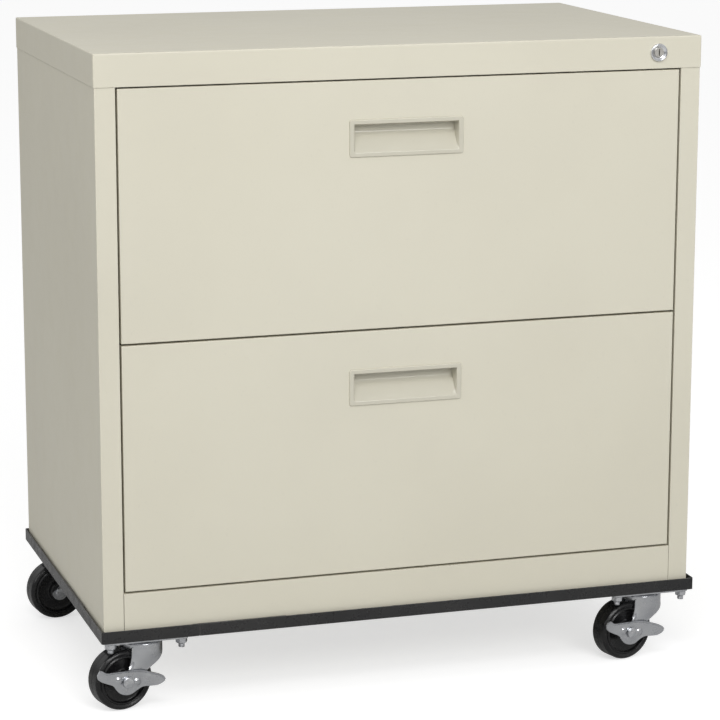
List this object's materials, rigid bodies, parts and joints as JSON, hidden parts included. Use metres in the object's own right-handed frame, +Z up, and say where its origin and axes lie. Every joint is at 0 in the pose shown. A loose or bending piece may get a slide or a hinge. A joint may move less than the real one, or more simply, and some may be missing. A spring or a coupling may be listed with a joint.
{
  "type": "lateral filing cabinet",
  "caption": "Wide metal filing cabinet with two stacked pull-out drawers, recessed pulls and a key lock, standing on an adjustable dolly with swivel casters and brake levers.",
  "frame": {"origin": "on the floor, under the middle of the cabinet", "axes": "+Z up; the drawers open along -Y; +X is to the right of someone facing the drawers"},
  "size_m": [0.7852, 0.4911, 0.8003],
  "materials": {
    "putty_enamel": "satin",
    "pull_plastic": "semi-gloss",
    "lock_chrome": "polished",
    "lock_brass": "satin",
    "bright_steel": "bright zinc",
    "black_paint": "satin",
    "black_bolt": "black oxide",
    "zinc_plate": "zinc plated",
    "zinc_bolt": "zinc plated",
    "black_wheel": "moulded"
  },
  "bodies": {
    "cabinet": {"back_panel": "putty_enamel", "bottom_pan": "putty_enamel", "caster_bolts": "zinc_bolt", "front_left_caster_plate": "zinc_plate", "front_left_rail": "black_paint", "front_right_caster_plate": "zinc_plate", "front_right_rail": "black_paint", "kick_rail": "putty_enamel", "left_rear_post": "putty_enamel", "left_side_panel": "putty_enamel", "leveling_glides": "bright_steel", "lock_bar_guide": "bright_steel", "lock_housing": "lock_chrome", "lower_slide_cabinet_members": "bright_steel", "rail_bolts": "black_bolt", "rear_left_caster_plate": "zinc_plate", "rear_left_rail": "black_paint", "rear_right_caster_plate": "zinc_plate", "rear_right_rail": "black_paint", "right_rear_post": "putty_enamel", "right_side_panel": "putty_enamel", "top_cap": "putty_enamel", "upper_slide_cabinet_members": "bright_steel"},
    "upper_drawer": {"upper_drawer_back": "putty_enamel", "upper_drawer_bottom": "putty_enamel", "upper_drawer_front": "putty_enamel", "upper_drawer_hanger_bars": "bright_steel", "upper_drawer_left_side": "putty_enamel", "upper_drawer_liner": "putty_enamel", "upper_drawer_pull": "pull_plastic", "upper_drawer_right_side": "putty_enamel", "upper_slide_drawer_members": "bright_steel"},
    "upper_slide_middle": {"upper_slide_middle_members": "bright_steel"},
    "lower_drawer": {"lower_drawer_back": "putty_enamel", "lower_drawer_bottom": "putty_enamel", "lower_drawer_front": "putty_enamel", "lower_drawer_hanger_bars": "bright_steel", "lower_drawer_left_side": "putty_enamel", "lower_drawer_liner": "putty_enamel", "lower_drawer_pull": "pull_plastic", "lower_drawer_right_side": "putty_enamel", "lower_slide_drawer_members": "bright_steel"},
    "lower_slide_middle": {"lower_slide_middle_members": "bright_steel"},
    "lock_plug": {"lock_plug": "lock_brass", "lock_cam": "bright_steel"},
    "lock_bar": {"lock_bar": "bright_steel"},
    "front_left_caster_swivel": {"front_left_caster_fork": "zinc_plate", "front_left_caster_axle": "zinc_bolt"},
    "front_left_caster_wheel": {"front_left_caster_wheel": "black_wheel"},
    "front_left_caster_lever": {"front_left_caster_brake_lever": "zinc_plate"},
    "front_right_caster_swivel": {"front_right_caster_fork": "zinc_plate", "front_right_caster_axle": "zinc_bolt"},
    "front_right_caster_wheel": {"front_right_caster_wheel": "black_wheel"},
    "front_right_caster_lever": {"front_right_caster_brake_lever": "zinc_plate"},
    "rear_left_caster_swivel": {"rear_left_caster_fork": "zinc_plate", "rear_left_caster_axle": "zinc_bolt"},
    "rear_left_caster_wheel": {"rear_left_caster_wheel": "black_wheel"},
    "rear_right_caster_swivel": {"rear_right_caster_fork": "zinc_plate", "rear_right_caster_axle": "zinc_bolt"},
    "rear_right_caster_wheel": {"rear_right_caster_wheel": "black_wheel"}
  },
  "joints": [
    {"name": "upper_drawer_slide", "type": "slide", "parent": "cabinet", "child": "upper_drawer", "axis": [0, -1, 0], "range_m": [0, 0.4]},
    {"name": "upper_slide_middle_travel", "type": "slide", "parent": "cabinet", "child": "upper_slide_middle", "axis": [0, -1, 0], "range_m": [0, 0.2]},
    {"name": "lower_drawer_slide", "type": "slide", "parent": "cabinet", "child": "lower_drawer", "axis": [0, -1, 0], "range_m": [0, 0.4]},
    {"name": "lower_slide_middle_travel", "type": "slide", "parent": "cabinet", "child": "lower_slide_middle", "axis": [0, -1, 0], "range_m": [0, 0.2]},
    {"name": "lock_turn", "type": "hinge", "parent": "cabinet", "child": "lock_plug", "pos_m": [0.3247, -0.237, 0.7808], "axis": [0, 1, 0], "range_deg": [0, 90]},
    {"name": "lock_bar_travel", "type": "slide", "parent": "cabinet", "child": "lock_bar", "axis": [1, 0, 0], "range_m": [0, 0.01415]},
    {"name": "front_left_caster_swivel_turn", "type": "hinge", "parent": "cabinet", "child": "front_left_caster_swivel", "pos_m": [-0.32825, -0.206, 0.08], "axis": [0, 0, 1], "continuous": true},
    {"name": "front_left_caster_wheel_spin", "type": "hinge", "parent": "front_left_caster_swivel", "child": "front_left_caster_wheel", "pos_m": [-0.35736, -0.21326, 0.038], "axis": [0.2419, -0.9703, 0], "continuous": true},
    {"name": "front_left_caster_lever_tilt", "type": "hinge", "parent": "front_left_caster_swivel", "child": "front_left_caster_lever", "pos_m": [-0.35736, -0.21326, 0.038], "axis": [0.2419, -0.9703, 0], "range_deg": [0, 22]},
    {"name": "front_right_caster_swivel_turn", "type": "hinge", "parent": "cabinet", "child": "front_right_caster_swivel", "pos_m": [0.33175, -0.206, 0.08], "axis": [0, 0, 1], "continuous": true},
    {"name": "front_right_caster_wheel_spin", "type": "hinge", "parent": "front_right_caster_swivel", "child": "front_right_caster_wheel", "pos_m": [0.30264, -0.21326, 0.038], "axis": [0.2419, -0.9703, 0], "continuous": true},
    {"name": "front_right_caster_lever_tilt", "type": "hinge", "parent": "front_right_caster_swivel", "child": "front_right_caster_lever", "pos_m": [0.30264, -0.21326, 0.038], "axis": [0.2419, -0.9703, 0], "range_deg": [0, 22]},
    {"name": "rear_left_caster_swivel_turn", "type": "hinge", "parent": "cabinet", "child": "rear_left_caster_swivel", "pos_m": [-0.32825, 0.1776, 0.08], "axis": [0, 0, 1], "continuous": true},
    {"name": "rear_left_caster_wheel_spin", "type": "hinge", "parent": "rear_left_caster_swivel", "child": "rear_left_caster_wheel", "pos_m": [-0.35803, 0.17394, 0.038], "axis": [0.1219, -0.9925, 0], "continuous": true},
    {"name": "rear_right_caster_swivel_turn", "type": "hinge", "parent": "cabinet", "child": "rear_right_caster_swivel", "pos_m": [0.33175, 0.1776, 0.08], "axis": [0, 0, 1], "continuous": true},
    {"name": "rear_right_caster_wheel_spin", "type": "hinge", "parent": "rear_right_caster_swivel", "child": "rear_right_caster_wheel", "pos_m": [0.3023, 0.17188, 0.038], "axis": [0.1908, -0.9816, 0], "continuous": true}
  ],
  "couplings": [
    {"joint": "upper_slide_middle_travel", "follows": "upper_drawer_slide", "ratio": 0.5},
    {"joint": "lower_slide_middle_travel", "follows": "lower_drawer_slide", "ratio": 0.5},
    {"joint": "lock_bar_travel", "follows": "lock_turn", "m_per_rad": 0.0090031}
  ]
}
